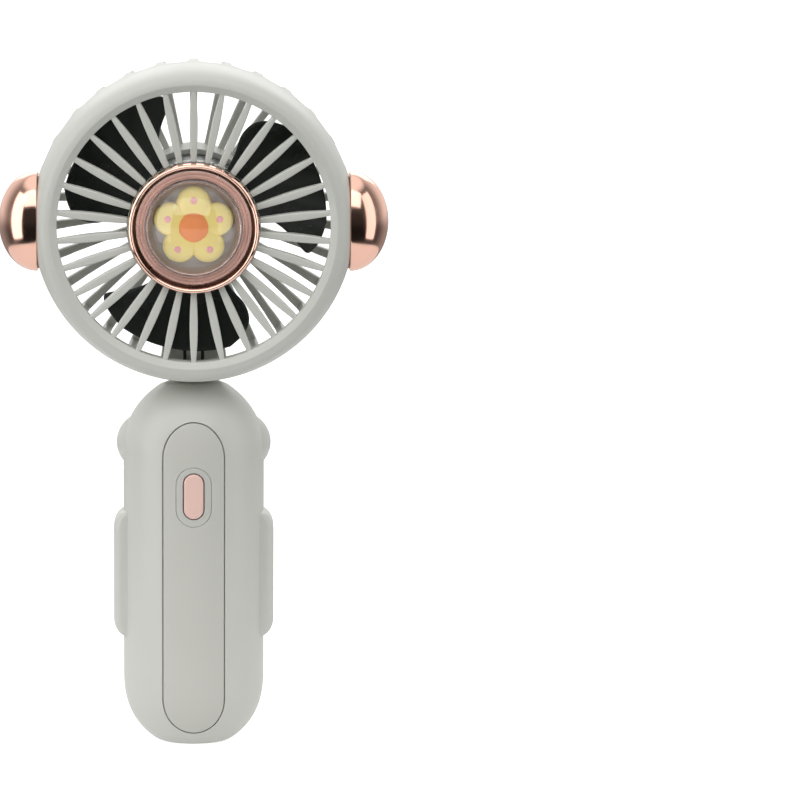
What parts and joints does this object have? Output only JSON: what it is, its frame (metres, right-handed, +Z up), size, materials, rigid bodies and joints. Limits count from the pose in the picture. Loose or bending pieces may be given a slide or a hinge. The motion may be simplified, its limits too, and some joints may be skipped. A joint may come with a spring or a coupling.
{
  "type": "handheld pocket fan",
  "caption": "Handheld battery fan: capsule handle on a small flat foot, hinged round head with radial grilles, an impeller, plated ear caps and a flower under a clear hub dome.",
  "frame": {"origin": "centre of the flat foot under the handle", "axes": "+Z up along the handle, the fan blows towards -Y, +X to the right when seen from the front"},
  "size_m": [0.1126, 0.0443, 0.2013],
  "materials": {
    "sage_gloss": "smooth glossy sage grey ABS",
    "sage_satin": "fine satin sage grey",
    "rose_plated": "vacuum plated rose gold over plastic; plastic's density is meant",
    "rose_satin": "satin dusty pink",
    "copper_ring": "copper pink lacquer",
    "clear": "clear polished acrylic",
    "mauve": "mauve grey",
    "petal_yellow": "soft yellow enamel",
    "centre_orange": "orange enamel",
    "dot_pink": "pink enamel",
    "label_grey": "bare satin lavender grey",
    "dark_plastic": "dark grey, slightly glossy",
    "steel": "bright steel",
    "dark_steel": "blackened steel",
    "sintered_magnet": "dark ferrite",
    "rotor_core": "lacquered copper winding on an iron core; iron's density stands for both",
    "bronze": "oiled sintered bronze",
    "cell_wrap": "shrink wrapped cell; this density gives a real cell's mass",
    "nickel": "nickel strip",
    "board_green": "green lacquered board",
    "lead_black": "black wire insulation",
    "light_white": "small diffused lights"
  },
  "bodies": {
    "handle": {"handle_front_shell": "sage_gloss", "handle_rear_shell": "sage_gloss", "front_panel": "sage_satin", "button_bezel": "sage_gloss", "handle_screws": "dark_steel", "side_pad_left": "sage_gloss", "side_pad_right": "sage_gloss", "hinge_cap_left": "sage_gloss", "hinge_cap_right": "sage_gloss", "hinge_pin": "steel", "friction_washers": "steel", "battery_cell": "cell_wrap", "battery_tabs": "nickel", "circuit_board": "board_green", "tact_switch": "dark_plastic", "usb_port": "nickel", "status_lights": "light_white", "handle_leads": "lead_black"},
    "head": {"front_casing": "sage_gloss", "front_grille": "sage_gloss", "front_hub_plate": "sage_gloss", "rear_cage": "sage_gloss", "hinge_neck": "sage_gloss", "rear_hub_cover": "label_grey", "lens_seat": "copper_ring", "trim_ring": "sage_gloss", "clear_dome": "clear", "ornament_cup": "mauve", "flower_petals": "petal_yellow", "flower_centre": "centre_orange", "flower_dots": "dot_pink", "ear_cap_left": "rose_plated", "ear_cap_right": "rose_plated", "motor_can": "steel", "motor_magnets": "sintered_magnet", "motor_end_cap": "dark_plastic", "motor_front_bush": "bronze", "motor_rear_bush": "bronze", "motor_terminals": "nickel", "motor_leads": "lead_black"},
    "impeller": {"impeller": "dark_plastic", "motor_shaft": "steel", "motor_rotor": "rotor_core"},
    "button": {"power_button": "rose_satin", "switch_plunger": "dark_plastic"}
  },
  "joints": [
    {"name": "head_tilt", "type": "hinge", "parent": "handle", "child": "head", "pos_m": [0, 0.007, 0.0904], "axis": [-1, 0, 0], "range_deg": [0, 95]},
    {"name": "impeller_spin", "type": "hinge", "parent": "head", "child": "impeller", "pos_m": [0, 0, 0.1548], "axis": [0, 1, 0], "continuous": true},
    {"name": "button_press", "type": "slide", "parent": "handle", "child": "button", "axis": [0, 1, 0], "range_m": [0, 0.0005], "stiffness_N_per_m": 400, "springref_m": -0.002}
  ]
}
